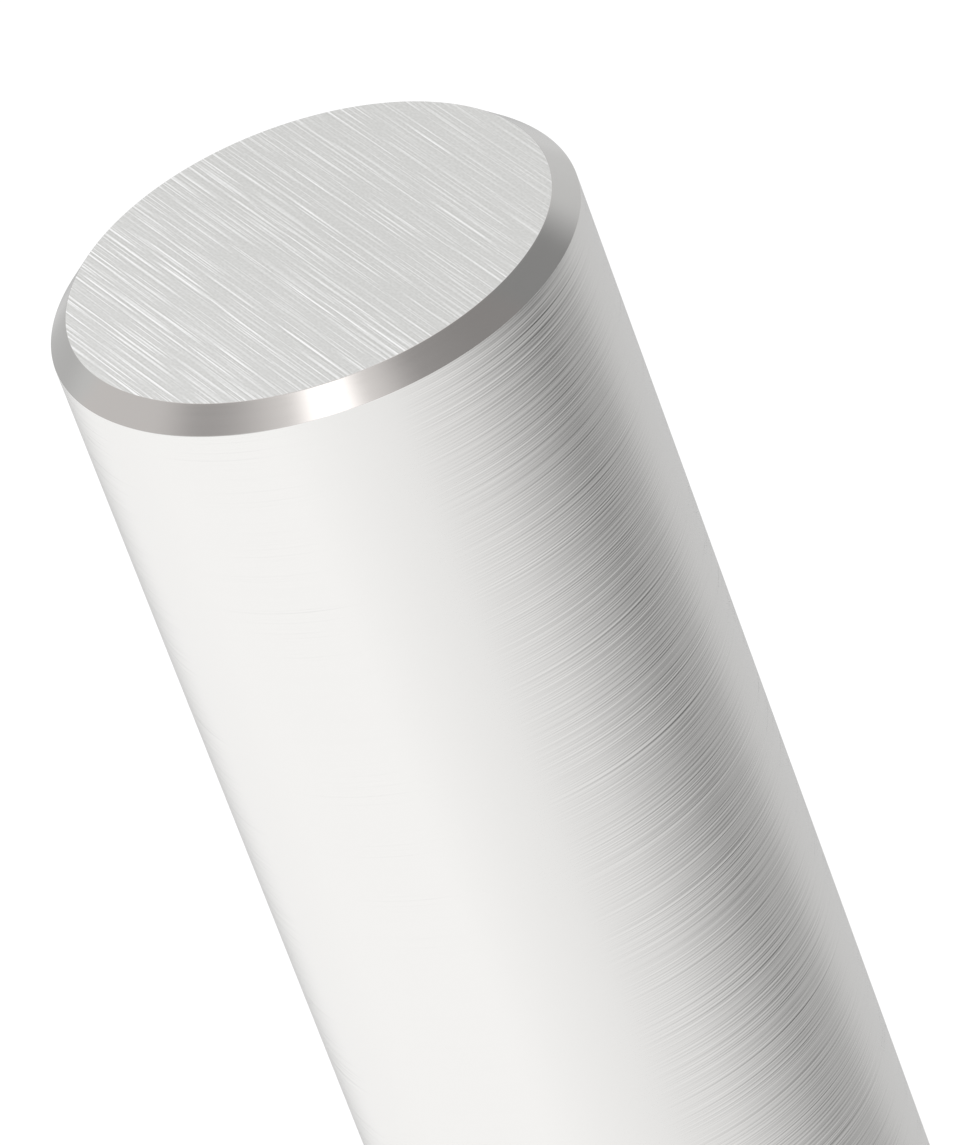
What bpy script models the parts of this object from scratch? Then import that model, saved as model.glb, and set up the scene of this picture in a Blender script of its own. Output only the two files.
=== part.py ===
"""A plain steel dowel pin: one ground round bar with a flat face and a 45 degree chamfer at each end.

The pin stands on one end. The origin is the middle of its lower end face, and +Z runs up its axis.
All lengths are in metres.
"""

import math

import bpy

# Driving dimensions of the pin
PIN_DIAMETER = 0.012
PIN_LENGTH = 0.060
# Each end is chamfered by this much along the axis, at this angle from the axis
CHAMFER_LENGTH = 0.0005
CHAMFER_ANGLE = math.radians(45)

# How finely the round shape is drawn: the facets stay within 0.002 mm of the true cylinder
STEPS_AROUND = 128
MERGE_DISTANCE = 0.000001
# The chamfer's edges turn by more than this, and the facets round the pin by far less
LEAST_SHARP_TURN = math.radians(20)

# The steel's look: pale, neutral grey, satin
STEEL_COLOUR = (0.72, 0.71, 0.70, 1.0)
STEEL_ROUGHNESS = 0.32


def clear_scene():
    for old in list(bpy.data.objects):
        bpy.data.objects.remove(old)


def steel_material():
    material = bpy.data.materials.new("Ground steel")
    material.use_nodes = True
    surface = material.node_tree.nodes["Principled BSDF"]
    surface.inputs["Base Color"].default_value = STEEL_COLOUR
    surface.inputs["Metallic"].default_value = 1.0
    surface.inputs["Roughness"].default_value = STEEL_ROUGHNESS
    return material


def pin_outline():
    """Half of the pin's section: from the middle of its upper face, down its side, to the lower face's middle."""
    radius = PIN_DIAMETER / 2
    face_radius = radius - CHAMFER_LENGTH * math.tan(CHAMFER_ANGLE)
    return [
        (0, 0, PIN_LENGTH),
        (face_radius, 0, PIN_LENGTH),
        (radius, 0, PIN_LENGTH - CHAMFER_LENGTH),
        (radius, 0, CHAMFER_LENGTH),
        (face_radius, 0, 0),
        (0, 0, 0),
    ]


def turned_solid(name, outline, collection):
    """The outline turned once round the Z axis."""
    mesh = bpy.data.meshes.new(name)
    edges = [(i, i + 1) for i in range(len(outline) - 1)]
    mesh.from_pydata(outline, edges, [])
    solid = bpy.data.objects.new(name, mesh)
    collection.objects.link(solid)

    screw = solid.modifiers.new("Turn", "SCREW")
    screw.axis = "Z"
    screw.angle = math.radians(360)
    screw.steps = STEPS_AROUND
    screw.render_steps = STEPS_AROUND
    screw.use_merge_vertices = True
    screw.merge_threshold = MERGE_DISTANCE
    return solid


def apply_modifiers(solid):
    bpy.context.view_layer.update()
    graph = bpy.context.evaluated_depsgraph_get()
    applied = bpy.data.meshes.new_from_object(solid.evaluated_get(graph))
    applied.name = solid.data.name
    solid.modifiers.clear()
    solid.data = applied


def shade_round_with_crisp_edges(solid):
    """The round sides look smooth, and the edges of the chamfers stay crisp."""
    solid.data.shade_smooth()
    solid.data.set_sharp_from_angle(angle=LEAST_SHARP_TURN)


def main():
    clear_scene()
    parts = bpy.data.collections.new("Steel pin")
    bpy.context.scene.collection.children.link(parts)

    pin = turned_solid("pin", pin_outline(), parts)
    apply_modifiers(pin)
    shade_round_with_crisp_edges(pin)
    pin.data.materials.append(steel_material())


main()
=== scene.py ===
"""The looks of a plain steel dowel pin that stands on its end.

The pin is one turned piece with three finishes: a side ground round and round, smooth turned chamfers,
and end faces that were brushed straight. All lengths are in metres and all angles in degrees.
"""

import math

import bmesh
import bpy
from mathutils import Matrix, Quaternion, Vector


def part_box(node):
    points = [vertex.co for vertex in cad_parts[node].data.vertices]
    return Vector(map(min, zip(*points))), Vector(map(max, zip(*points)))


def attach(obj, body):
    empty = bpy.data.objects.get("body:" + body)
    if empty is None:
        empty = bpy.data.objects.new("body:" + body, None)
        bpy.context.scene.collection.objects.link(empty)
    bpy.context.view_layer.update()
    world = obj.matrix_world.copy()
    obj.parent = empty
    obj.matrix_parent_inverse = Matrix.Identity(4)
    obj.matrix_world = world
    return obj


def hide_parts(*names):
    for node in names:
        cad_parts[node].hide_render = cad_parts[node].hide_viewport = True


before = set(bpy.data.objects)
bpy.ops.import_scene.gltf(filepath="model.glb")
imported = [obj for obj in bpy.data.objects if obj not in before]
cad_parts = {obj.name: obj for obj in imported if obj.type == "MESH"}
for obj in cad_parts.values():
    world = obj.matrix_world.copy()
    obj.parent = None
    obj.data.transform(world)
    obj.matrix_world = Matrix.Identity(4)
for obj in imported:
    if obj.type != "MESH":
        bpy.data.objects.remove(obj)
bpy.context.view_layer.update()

# The pin's sizes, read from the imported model
PIN_LOW, PIN_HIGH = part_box("pin")
PIN_RADIUS = (PIN_HIGH.x - PIN_LOW.x) / 2
FACE_CENTRE = Vector((0, 0, PIN_HIGH.z))
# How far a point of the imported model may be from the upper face, or from the side, and still be on it
SURFACE_TOLERANCE = 0.000006

# The turned mesh
STEPS_AROUND = 256
BODY_BANDS = 24
EDGE_ROUND = 0.00003
EDGE_STEPS = 3

# How far above level the surface's normal points on the upper face and on the side
FACE_ANGLE = 90
SIDE_ANGLE = 0
# A band of the mesh is the end face or the chamfer where its normals lean up or down more than this
FACE_TILT = 67.5
CHAMFER_TILT = 22.5

# The UV map: the side lies in strips, one above the other, and both ends are discs to their right
SIDE_STRIPS = 3
SIDE_WIDTH = 0.69
END_RADIUS = 0.145
END_MIDDLES = ((0.85, 0.155), (0.85, 0.465))
UV_MARGIN = 0.006

# The camera: where it stands, as seen from the middle of the upper face, how far it leans, its lens and
# its sensor in millimetres, the point it looks at, and the nearest distance that it shows
CAMERA_ELEVATION = 30.36
CAMERA_DISTANCE = 41.41 * PIN_RADIUS
CAMERA_ROLL = 20.67
CAMERA_LENS = 362.8
SENSOR_LONG_SIDE = 36.0
CAMERA_AIM = FACE_CENTRE + PIN_RADIUS * Vector((0.2035, 0, -1.5515))
CAMERA_CLIP = 0.01

# The floor: its width, its colour, the little light of its own that the camera sees on it, and how far
# from the pin's side it starts and ends to fade from the metal's reflections
FLOOR_WIDTH = 6
FLOOR_COLOUR = (0.86, 0.86, 0.86, 1)
FLOOR_GLOW = 0.08
FOOT_NEAR = 0.003
FOOT_FAR = 0.010

# The tent round the pin, and the lamp that gives the floor its shadow: its size, its energy in watts,
# and its direction and distance from the middle of the upper face
TENT_RADIUS = 2.5
TENT_SEGMENTS = 64
TENT_RINGS = 32
KEY_SIZE = 0.3
KEY_ENERGY = 1.2
KEY_DIRECTION = Vector((-0.3, -0.5, 0.86)).normalized()
KEY_DISTANCE = 0.7

# Noise goes from 0 to 1, and a cell of a pattern is 1 wide
NOISE_MIDDLE = 0.5
CELL_MIDDLE = 0.5

# Azimuths go from one half turn to the other
HALF_TURN = 180

# The Mix node's sockets for colours: two among its inputs, and the result among its outputs
MIX_FIRST = 6
MIX_SECOND = 7
MIX_RESULT = 2

# The side: the metal's colour, its roughness, the heights of the lines that it follows, how deep the
# relief is, and layers of grinding lines: shift of the pattern, length, spacing, strength
SIDE_COLOUR = (0.905, 0.896, 0.880, 1)
SIDE_ROUGHNESS = (0.18, 0.20)
ROUGHNESS_HEIGHTS = (-0.3, 0.3)
GRIND_RELIEF = 0.0000043
GRIND_LINES = [
    (7.5, 0.030, 0.000066, 1.00),
    (35.8, 0.020, 0.000082, 0.76),
    (58.6, 0.030, 0.000130, 0.10),
    (83.3, 0.015, 0.000044, 2.00),
]
# A line swells and fades: how far it goes before it does, in metres and in spacings, the part of the
# noise that it follows, and its least and greatest depth
SWELL_LENGTH = 0.005
SWELL_WIDTH = 2.5
SWELL_NOISE = (0.35, 0.65)
SWELL_DEPTH = (0.62, 0.90)

# The chamfers: plain colour, the warmer tint painted where the soft box's highlight falls, a painted warm
# highlight, the way that side faces and where the tint fades in, as shares of the pin's radius, then the
# roughness, the part of the noise that it follows, and the tool's lines
CHAMFER_COLOUR = (0.578, 0.572, 0.560, 1)
PAINTED_WARM_HIGHLIGHT = (0.60, 0.573, 0.555, 1)
SOFT_BOX_SIDE = Vector((-0.28, -0.96, 0))
PAINTED_WARM_FADE = (0.50, 0.60)
CHAMFER_ROUGHNESS = (0.14, 0.17)
TOOL_NOISE = (0.3, 0.7)
TOOL_LINE = (0.030, 0.030, 0.00006)
TOOL_RELIEF = 0.0000001

# The end faces: the metal's colour between the brush marks, and the white painted into the marks as
# glints
END_COLOUR = (0.60, 0.60, 0.585, 1)
PAINTED_GLINT_COLOUR = (1.0, 1.0, 1.0, 1)
END_ROUGHNESS = 0.3
BRUSH_RELIEF = 0.0000004

# The brush marks: their direction, and layers of shift of the pattern, length and width of the cell
# that holds one mark, strength
BRUSH_TURN = 71.0
BRUSH_MARKS = [
    (3.5, 0.0034, 0.000160, 1.27),
    (28.4, 0.0028, 0.000120, 1.27),
    (43.6, 0.0040, 0.000210, 1.00),
    (67.3, 0.0022, 0.000092, 1.06),
]
# One mark in its cell: where its crest may run, how wide the crest is, where its flank starts and ends
# to fade, how deep and how dark the flank is, a dip in the relief and painted shade in the colour beside
# the crest's painted glint, where its ends fade, and how rare the strong marks are
CREST_PLACES = (0.4, 0.6)
CREST_REACH = 0.28
FLANK_FADE = (0.4, 0.2)
FLANK_DEPTH = 0.3
END_FADE = (0.5, 0.15)
RARITY = 1.9

# Across the face: the painted glints' strength on the far side, the painted glow of light on the near
# side and how far from the middle it starts, as a share of the pin's radius, and the metal's mottle
FAR_GLINT_STRENGTH = 0.36
PAINTED_NEAR_GLOW = 0.13
PAINTED_GLOW_START = 0.1
MOTTLE_GRAIN = (0.00010, 0.00005, 0.00010)
MOTTLE = 0.28


def chamfer_size():
    """(radius of the flat end face, length of the chamfer along the axis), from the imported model."""
    points = [vertex.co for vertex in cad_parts["pin"].data.vertices]
    face_radius = max(point.xy.length for point in points if point.z > PIN_HIGH.z - SURFACE_TOLERANCE)
    side_top = max(point.z for point in points if point.xy.length > PIN_RADIUS - SURFACE_TOLERANCE)
    return face_radius, PIN_HIGH.z - side_top


def rounded_corner(corner, first_angle, last_angle):
    """Outline points round one edge: (radius, height, angle of the surface's normal above level)."""
    turn = math.radians(first_angle - last_angle)
    setback = EDGE_ROUND * math.tan(turn / 2)
    first = math.radians(first_angle)
    # From the corner back along the first surface, then in by the radius of the round
    centre = Vector(corner)
    centre += setback * Vector((-math.sin(first), math.cos(first)))
    centre -= EDGE_ROUND * Vector((math.cos(first), math.sin(first)))
    points = []
    for step in range(EDGE_STEPS + 1):
        angle = first_angle + (last_angle - first_angle) * step / EDGE_STEPS
        direction = Vector((math.cos(math.radians(angle)), math.sin(math.radians(angle))))
        points.append((*(centre + EDGE_ROUND * direction), angle))
    return points


def pin_outline():
    """The pin's half section from the middle of its upper face to the middle of its lower face."""
    face_radius, chamfer = chamfer_size()
    tilt = math.degrees(math.atan2(PIN_RADIUS - face_radius, chamfer))
    upper = [(0, PIN_HIGH.z, FACE_ANGLE)]
    upper += rounded_corner((face_radius, PIN_HIGH.z), FACE_ANGLE, tilt)
    upper += rounded_corner((PIN_RADIUS, PIN_HIGH.z - chamfer), tilt, SIDE_ANGLE)
    middle = PIN_HIGH.z + PIN_LOW.z
    lower = [(radius, middle - height, -angle) for radius, height, angle in reversed(upper)]
    side_top, side_low = upper[-1][1], lower[0][1]
    side = []
    for band in range(1, BODY_BANDS):
        height = side_top + (side_low - side_top) * band / BODY_BANDS
        side.append((PIN_RADIUS, height, SIDE_ANGLE))
    return upper + side + lower


def finish_of(angle_above, angle_below):
    """Which finish a band wears, from the normals at its two edges."""
    tilt = abs(angle_above + angle_below) / 2
    if tilt > FACE_TILT:
        return FINISHES.index(brushed_end)
    if tilt > CHAMFER_TILT:
        return FINISHES.index(turned_chamfer)
    return FINISHES.index(ground_side)


def turn_at(step):
    """The angle round the axis at a step, in radians."""
    return 2 * math.pi * step / STEPS_AROUND


def side_place(band, ring, step):
    """UV place in the strips of the side. Band 0 is the side's first."""
    bands_in_strip = BODY_BANDS // SIDE_STRIPS
    strip, place = divmod(band, bands_in_strip)
    along = (place + ring - band) / bands_in_strip
    around = step / STEPS_AROUND
    wide = SIDE_WIDTH - 2 * UV_MARGIN
    high = 1 / SIDE_STRIPS - 2 * UV_MARGIN
    return UV_MARGIN + along * wide, strip / SIDE_STRIPS + UV_MARGIN + around * high


def end_place(middle, reach, step, turning):
    """UV place in the disc of an end. Reach is 0 in its middle and 1 at the side. Turning is 1 or -1."""
    turn = turn_at(step)
    radius = END_RADIUS * reach
    return middle[0] + radius * math.cos(turn), middle[1] + turning * radius * math.sin(turn)


def end_reach(outline, ring):
    """How far along the surface a ring is from the middle of its end: 0 there and 1 at the side."""
    lengths = [math.dist(first[:2], second[:2]) for first, second in zip(outline, outline[1:])]
    return sum(lengths[:ring]) / sum(lengths)


def uv_place(outline, band, ring, step):
    """Where a corner of a band's face lies in the UV map."""
    end_bands = (len(outline) - 1 - BODY_BANDS) // 2
    if end_bands <= band < end_bands + BODY_BANDS:
        return side_place(band - end_bands, ring - end_bands, step)
    if band < end_bands:
        upper_end = outline[:end_bands + 1]
        return end_place(END_MIDDLES[0], end_reach(upper_end, ring), step, 1)
    lower_end = outline[-end_bands - 1:][::-1]
    return end_place(END_MIDDLES[1], end_reach(lower_end, len(outline) - 1 - ring), step, -1)


def turned_rings(mesh, outline):
    """The rings of vertices round the Z axis, a lone one where the outline meets the axis."""
    rings = []
    for radius, height, _ in outline:
        ring = []
        for step in range(STEPS_AROUND if radius > 0 else 1):
            turn = turn_at(step)
            ring.append(mesh.verts.new((radius * math.cos(turn), radius * math.sin(turn), height)))
        rings.append(ring)
    return rings


def turned_normals(outline):
    """The true surface's normal at each vertex of the rings."""
    normals = []
    for radius, _, angle in outline:
        flat = math.cos(math.radians(angle)) if radius > 0 else 0
        up = math.sin(math.radians(angle))
        for step in range(STEPS_AROUND if radius > 0 else 1):
            turn = turn_at(step)
            normals.append((flat * math.cos(turn), flat * math.sin(turn), up))
    return normals


def turned_pin():
    """One closed mesh: the outline turned about the Z axis, with its finishes, normals and UV map."""
    outline = pin_outline()
    mesh = bmesh.new()
    rings = turned_rings(mesh, outline)
    uv_map = mesh.loops.layers.uv.new("OFBake")
    for band in range(len(outline) - 1):
        finish = finish_of(outline[band][2], outline[band + 1][2])
        for step in range(STEPS_AROUND):
            # At the axis two of the four corners are the same vertex
            corners = {}
            for ring, place in ((band, step), (band + 1, step), (band + 1, step + 1), (band, step + 1)):
                corners.setdefault(rings[ring][place % len(rings[ring])], (ring, place))
            face = mesh.faces.new(corners)
            face.material_index = finish
            face.smooth = True
            for loop in face.loops:
                loop[uv_map].uv = uv_place(outline, band, *corners[loop.vert])
    data = bpy.data.meshes.new("steel_pin")
    mesh.to_mesh(data)
    mesh.free()
    data.normals_split_custom_set_from_vertices(turned_normals(outline))
    pin = bpy.data.objects.new("steel_pin", data)
    bpy.context.scene.collection.objects.link(pin)
    return pin


class Nodes:
    """A short way to write a material's or world's node tree."""

    def __init__(self, owner):
        owner.use_nodes = True
        self.tree = owner.node_tree
        self.tree.nodes.clear()

    def add(self, kind, inputs=(), **settings):
        node = self.tree.nodes.new("ShaderNode" + kind)
        for name, value in settings.items():
            setattr(node, name, value)
        for name, value in dict(inputs).items():
            self.put(node.inputs[name], value)
        return node

    def put(self, socket, value):
        if isinstance(value, bpy.types.NodeSocket):
            self.tree.links.new(value, socket)
        else:
            socket.default_value = value

    def math(self, operation, *values):
        node = self.add("Math", operation=operation)
        for socket, value in zip(node.inputs, values):
            self.put(socket, value)
        return node.outputs[0]

    def noise(self, vector):
        return self.add("TexNoise", {"Vector": vector, "Scale": 1.0, "Detail": 0.0}).outputs["Fac"]

    def whole_and_rest(self, value):
        whole = self.math("FLOOR", value)
        return whole, self.math("SUBTRACT", value, whole)

    def chances(self, *values):
        """Three random numbers for each set of whole numbers."""
        key = self.add("CombineXYZ", dict(zip("XYZ", values))).outputs[0]
        numbers = self.add("TexWhiteNoise", {"Vector": key}, noise_dimensions="3D").outputs["Color"]
        return self.add("SeparateColor", {"Color": numbers}).outputs

    def distance(self, first, second):
        return self.math("ABSOLUTE", self.math("SUBTRACT", first, second))

    def marks(self, along, across, shift):
        """One long mark in each cell, most of them faint: a raised crest with a sunken flank, which the
        end face's colour shows as a painted glint with painted shade beside it.
        """
        row, place_across = self.whole_and_rest(self.math("ADD", across, shift))
        slide = self.chances(row, shift)["Red"]
        cell, place_along = self.whole_and_rest(self.math("ADD", along, slide))
        chance = self.chances(row, cell, shift)
        off = self.distance(place_across, self.remap(chance["Green"], 0.0, 1.0, *CREST_PLACES))
        crest = self.remap(off, CREST_REACH, 0.0, smooth=True)
        flank = self.remap(off, *FLANK_FADE, smooth=True)
        end = self.remap(self.distance(place_along, CELL_MIDDLE), *END_FADE, smooth=True)
        strength = self.math("MULTIPLY", self.math("POWER", chance["Red"], RARITY), end)
        return self.math("MULTIPLY", self.math("MULTIPLY_ADD", flank, -FLANK_DEPTH, crest), strength)

    def remap(self, value, low, high, to_low=0.0, to_high=1.0, smooth=False):
        kind = "SMOOTHSTEP" if smooth else "LINEAR"
        inputs = {"Value": value, "From Min": low, "From Max": high, "To Min": to_low, "To Max": to_high}
        return self.add("MapRange", inputs, interpolation_type=kind).outputs["Result"]

    def stretched(self, vector, sizes, turn=0.0, shift=(0, 0, 0)):
        """The vector turned about Z, then measured in cells of these sizes."""
        turned = self.add("Mapping", {"Vector": vector, "Rotation": (0, 0, math.radians(turn))})
        cells = self.add("VectorMath", operation="DIVIDE")
        self.put(cells.inputs[0], turned.outputs[0])
        self.put(cells.inputs[1], sizes)
        moved = self.add("VectorMath", operation="ADD")
        self.put(moved.inputs[0], cells.outputs[0])
        self.put(moved.inputs[1], shift)
        return moved.outputs[0]

    def mixed_colour(self, factor, first, second):
        node = self.add("Mix", {"Factor": factor}, data_type="RGBA")
        self.put(node.inputs[MIX_FIRST], first)
        self.put(node.inputs[MIX_SECOND], second)
        return node.outputs[MIX_RESULT]

    def steel(self, colour, roughness, height, relief):
        """The metal shader with its grain as a bump of this relief, in metres."""
        bump = self.add("Bump", {"Height": height, "Distance": relief, "Strength": 1.0})
        shader = self.add("BsdfPrincipled", {
            "Base Color": colour,
            "Metallic": 1.0,
            "Roughness": roughness,
            "Normal": bump.outputs["Normal"],
        })
        self.finish(shader.outputs[0])

    def finish(self, surface, kind="OutputMaterial"):
        output = self.add(kind)
        self.tree.links.new(surface, output.inputs["Surface"])


def ground_side():
    """Fine grinding lines that run round and round the pin, each fading in and out on its way."""
    material = bpy.data.materials.new("ground_side")
    nodes = Nodes(material)
    place = nodes.add("TexCoord").outputs["Object"]
    height = 0.0
    for shift, length, spacing, strength in GRIND_LINES:
        line_cells = nodes.stretched(place, (length, length, spacing), shift=(shift, CELL_MIDDLE, 0))
        swell_size = (SWELL_LENGTH, SWELL_LENGTH, SWELL_WIDTH * spacing)
        swell_cells = nodes.stretched(place, swell_size, shift=(0, shift, 0))
        least, greatest = [strength * share for share in SWELL_DEPTH]
        depth = nodes.remap(nodes.noise(swell_cells), *SWELL_NOISE, least, greatest)
        line = nodes.math("SUBTRACT", nodes.noise(line_cells), NOISE_MIDDLE)
        height = nodes.math("MULTIPLY_ADD", line, depth, height)
    roughness = nodes.remap(height, *ROUGHNESS_HEIGHTS, *SIDE_ROUGHNESS)
    nodes.steel(SIDE_COLOUR, roughness, height, GRIND_RELIEF)
    return material


def turned_chamfer():
    """A smooth cone, as a sharp lathe tool leaves it, with a warm tint painted on the side that faces the
    soft box.
    """
    material = bpy.data.materials.new("turned_chamfer")
    nodes = Nodes(material)
    place = nodes.add("TexCoord").outputs["Object"]
    lines = nodes.noise(nodes.stretched(place, TOOL_LINE))
    roughness = nodes.remap(lines, *TOOL_NOISE, *CHAMFER_ROUGHNESS)
    # A warm tint painted on the side that faces the soft box, where its highlight falls: a painted warm
    # highlight
    facing = nodes.add("VectorMath", {0: place, 1: SOFT_BOX_SIDE}, operation="DOT_PRODUCT").outputs["Value"]
    painted_warmth = nodes.remap(facing, *[share * PIN_RADIUS for share in PAINTED_WARM_FADE], smooth=True)
    colour = nodes.mixed_colour(painted_warmth, CHAMFER_COLOUR, PAINTED_WARM_HIGHLIGHT)
    nodes.steel(colour, roughness, lines, TOOL_RELIEF)
    return material


def brushed_end():
    """Straight brush marks of uneven strength in the relief, also painted into the colour as white glints
    with painted shade on their flanks, the painted glints strongest on one side of the face, where a
    painted glow lightens the metal too.
    """
    material = bpy.data.materials.new("brushed_end")
    nodes = Nodes(material)
    place = nodes.add("TexCoord").outputs["Object"]
    along_brush = nodes.stretched(place, (1, 1, 1), turn=BRUSH_TURN)
    turned = nodes.add("SeparateXYZ", {"Vector": along_brush}).outputs
    marks = 0.0
    for shift, length, width, strength in BRUSH_MARKS:
        along = nodes.math("DIVIDE", turned["X"], length)
        across = nodes.math("DIVIDE", turned["Y"], width)
        marks = nodes.math("MULTIPLY_ADD", nodes.marks(along, across, shift), strength, marks)
    # Painted light: the marks' white glints are painted strongest on the near side of the face and weaker
    # on the far side, while the relief keeps one strength
    fade = nodes.remap(turned["Y"], PIN_RADIUS, -PIN_RADIUS, FAR_GLINT_STRENGTH, 1.0)
    mottle = nodes.noise(nodes.stretched(place, MOTTLE_GRAIN, turn=BRUSH_TURN))
    # A painted glow of light that lightens the metal towards the near side of the face
    glow = nodes.remap(turned["Y"], PAINTED_GLOW_START * PIN_RADIUS, -PIN_RADIUS, 0.0, PAINTED_NEAR_GLOW)
    # The metal's own mottle, plus the painted glints and the painted shade of the marks
    mottle_and_painted_glints = nodes.math("MULTIPLY_ADD", mottle, MOTTLE, nodes.math("MULTIPLY", marks, fade))
    colour = nodes.mixed_colour(nodes.math("ADD", mottle_and_painted_glints, glow), END_COLOUR, PAINTED_GLINT_COLOUR)
    nodes.steel(colour, END_ROUGHNESS, marks, BRUSH_RELIEF)
    return material


FINISHES = [ground_side, turned_chamfer, brushed_end]


def make_pin():
    pin = turned_pin()
    for finish in FINISHES:
        pin.data.materials.append(finish())
    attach(pin, "root")
    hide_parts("pin")


def make_floor():
    """A white floor that keeps the pin's shadow. In the metal it shows only near the pin's foot."""
    bpy.ops.mesh.primitive_plane_add(size=FLOOR_WIDTH, location=(0, 0, PIN_LOW.z))
    floor = bpy.context.object
    floor.name = "floor"
    material = bpy.data.materials.new("pale_floor")
    nodes = Nodes(material)
    ray = nodes.add("LightPath")
    cloth = nodes.add("BsdfDiffuse", {"Color": FLOOR_COLOUR})
    glow_strength = nodes.math("MULTIPLY", ray.outputs["Is Camera Ray"], FLOOR_GLOW)
    glow = nodes.add("Emission", {"Strength": glow_strength})
    seen = nodes.add("AddShader")
    nodes.put(seen.inputs[0], cloth.outputs[0])
    nodes.put(seen.inputs[1], glow.outputs[0])

    place = nodes.add("TexCoord").outputs["Object"]
    distance = nodes.add("VectorMath", {0: place}, operation="LENGTH").outputs["Value"]
    away = nodes.remap(distance, PIN_RADIUS + FOOT_NEAR, PIN_RADIUS + FOOT_FAR, smooth=True)
    unseen = nodes.math("MULTIPLY", ray.outputs["Is Glossy Ray"], away)
    surface = nodes.add("MixShader", {"Fac": unseen})
    nodes.put(surface.inputs[1], seen.outputs[0])
    nodes.put(surface.inputs[2], nodes.add("BsdfTransparent").outputs[0])
    nodes.finish(surface.outputs[0])
    floor.data.materials.append(material)


# Each patch of the tent's cloth: (left, right) azimuth and (low, high) elevation of its full part,
# the width of its four feathers in the same order, straight or smooth feathers, and its brightness
TENT_PATCHES = [
    ("left wall", (124, 176, -6, 40), (14, 14, 14, 14), "smooth", 0.84),
    ("back wall", (36, 88, -12, 16), (12, 14, 8, 12), "smooth", 0.85),
    ("back corner", (98, 126, -13, 8), (12, 14, 8, 14), "smooth", 0.69),
    ("front wall", (-78, 60, -90, -8), (52, 40, 10, 8), "straight", 0.86),
    ("front side", (18, 36, -90, -8), (70, 32, 10, 8), "straight", 0.50),
    ("far floor", (96, 134, -90, -24), (30, 40, 10, 14), "straight", 0.96),
    ("floor side", (48, 98, -90, -24), (30, 33, 10, 14), "straight", 0.60),
    ("low flag", (-12, -3, -16, -6), (68, 33, 30, 12), "straight", 0.03),
    ("flag edge", (-54, -20, 20, 58), (32, 20, 14, 14), "smooth", 0.45),
    ("right flag", (-20, 23, 20, 58), (40, 22, 14, 14), "smooth", 0.38),
    ("dark spot", (-172, -168, 41, 52), (20, 42, 14, 10), "smooth", 0.53),
    ("soft box", (-112, -105, 52, 70), (20, 19, 12, 12), "smooth", 2.3),
    ("rear flag", (-168, -146, -10, 6), (28, 28, 8, 16), "smooth", 0.38),
]


def tent_brightness(nodes):
    """White cloth with a few soft-edged flags and a soft box, by direction from the pin."""
    place = nodes.add("TexCoord").outputs["Object"]
    direction = nodes.add("VectorMath", {0: place}, operation="NORMALIZE").outputs[0]
    parts = nodes.add("SeparateXYZ", {"Vector": direction})
    azimuth = nodes.math("DEGREES", nodes.math("ARCTAN2", parts.outputs["Y"], parts.outputs["X"]))
    elevation = nodes.math("DEGREES", nodes.math("ARCSINE", parts.outputs["Z"]))
    brightness = 1.0
    for _, (left, right, low, high), feathers, edge, level in TENT_PATCHES:
        middle = (left + right) / 2
        across = nodes.math("WRAP", nodes.math("SUBTRACT", azimuth, middle), HALF_TURN, -HALF_TURN)
        smooth = edge == "smooth"
        edges = [
            nodes.remap(across, left - middle - feathers[0], left - middle, smooth=smooth),
            nodes.remap(across, right - middle + feathers[1], right - middle, smooth=smooth),
            nodes.remap(elevation, low - feathers[2], low, smooth=smooth),
            nodes.remap(elevation, high + feathers[3], high, smooth=smooth),
        ]
        cover_across = nodes.math("MINIMUM", *edges[:2])
        cover_upward = nodes.math("MINIMUM", *edges[2:])
        cover = nodes.math("MULTIPLY", cover_across, cover_upward)
        change = nodes.math("SUBTRACT", level, brightness)
        brightness = nodes.math("MULTIPLY_ADD", cover, change, brightness)
    return brightness


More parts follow.
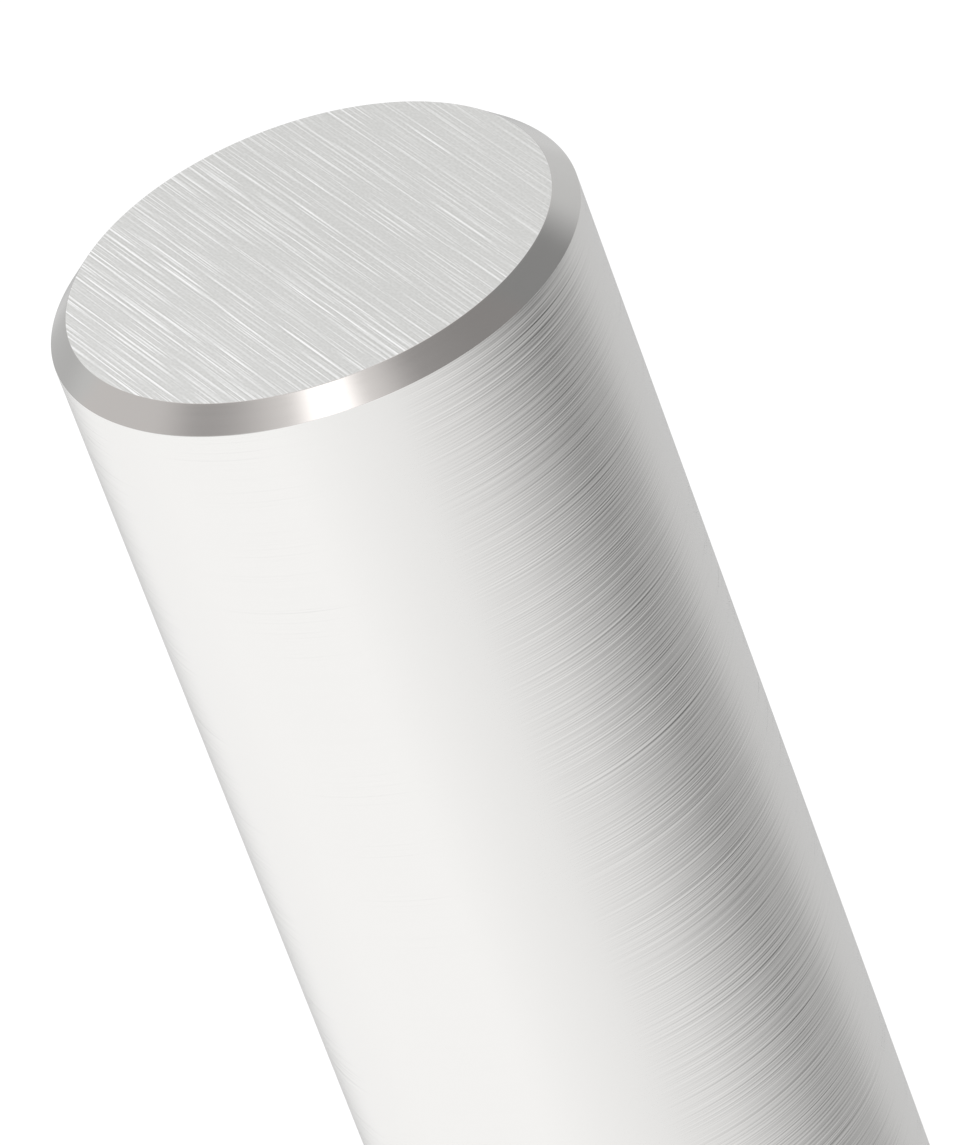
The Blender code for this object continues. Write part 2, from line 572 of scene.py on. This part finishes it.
def make_tent():
    """A round tent of white cloth that only the metal's reflections show."""
    bpy.ops.mesh.primitive_uv_sphere_add(
        radius=TENT_RADIUS, segments=TENT_SEGMENTS, ring_count=TENT_RINGS, location=FACE_CENTRE
    )
    tent = bpy.context.object
    tent.name = "light_tent"
    tent.visible_camera = False
    tent.visible_diffuse = False
    tent.visible_shadow = False
    tent.visible_transmission = False
    material = bpy.data.materials.new("tent_cloth")
    nodes = Nodes(material)
    cloth = nodes.add("Emission", {"Strength": tent_brightness(nodes)})
    nodes.finish(cloth.outputs[0])
    material.cycles.emission_sampling = "NONE"
    tent.data.materials.append(material)


def make_light():
    world = bpy.data.worlds.new("studio")
    bpy.context.scene.world = world
    nodes = Nodes(world)
    background = nodes.add("Background", {"Color": (1, 1, 1, 1), "Strength": 1.0})
    nodes.finish(background.outputs[0], "OutputWorld")
    world.cycles.sampling_method = "NONE"

    lamp = bpy.data.lights.new("key", "AREA")
    lamp.shape = "DISK"
    lamp.size = KEY_SIZE
    lamp.energy = KEY_ENERGY
    key = bpy.data.objects.new("key", lamp)
    bpy.context.scene.collection.objects.link(key)
    key.location = FACE_CENTRE + KEY_DISTANCE * KEY_DIRECTION
    key.rotation_mode = "QUATERNION"
    key.rotation_quaternion = (-KEY_DIRECTION).to_track_quat("-Z", "Y")
    key.visible_glossy = False


def make_camera():
    data = bpy.data.cameras.new("camera")
    data.lens = CAMERA_LENS
    data.sensor_width = SENSOR_LONG_SIDE
    data.clip_start = CAMERA_CLIP
    camera = bpy.data.objects.new("camera", data)
    bpy.context.scene.collection.objects.link(camera)
    elevation = math.radians(CAMERA_ELEVATION)
    direction = Vector((0, -math.cos(elevation), math.sin(elevation)))
    camera.location = FACE_CENTRE + CAMERA_DISTANCE * direction
    camera.rotation_mode = "QUATERNION"
    aim = (CAMERA_AIM - camera.location).to_track_quat("-Z", "Y")
    camera.rotation_quaternion = aim @ Quaternion((0, 0, 1), math.radians(-CAMERA_ROLL))
    bpy.context.scene.camera = camera


make_camera()
make_pin()
make_floor()
make_tent()
make_light()
bpy.context.scene.view_settings.view_transform = "Standard"

bpy.context.view_layer.update()
